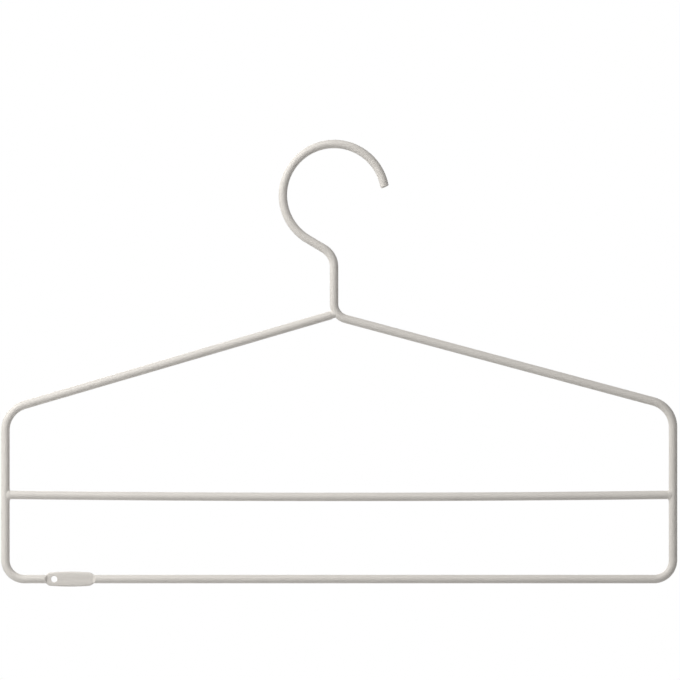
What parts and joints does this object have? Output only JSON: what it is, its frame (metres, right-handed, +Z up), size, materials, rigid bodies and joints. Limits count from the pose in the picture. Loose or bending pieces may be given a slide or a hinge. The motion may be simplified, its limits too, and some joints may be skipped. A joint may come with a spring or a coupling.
{
  "type": "trouser hanger",
  "caption": "Bent round-rod trouser hanger in a warm light-grey powder coat, with a circular hook, sloping shoulders, a welded trouser bar and a flat pierced tag in its bottom rod",
  "frame": {"origin": "the inside crown of the hook, where the hanger rests on the middle of a rail, in the rod's middle plane", "axes": "+X runs to the right along the trouser bar as seen from the front, +Y runs from the front to the back along the rail that it hangs on, and +Z runs up along the neck; the front looks towards -Y"},
  "size_m": [0.42, 0.0058, 0.2775],
  "materials": {
    "coat": "satin"
  },
  "bodies": {
    "root": {"frame_rod": "coat", "trouser_bar": "coat", "neck_weld": "coat", "left_bar_weld": "coat", "right_bar_weld": "coat"}
  },
  "joints": []
}
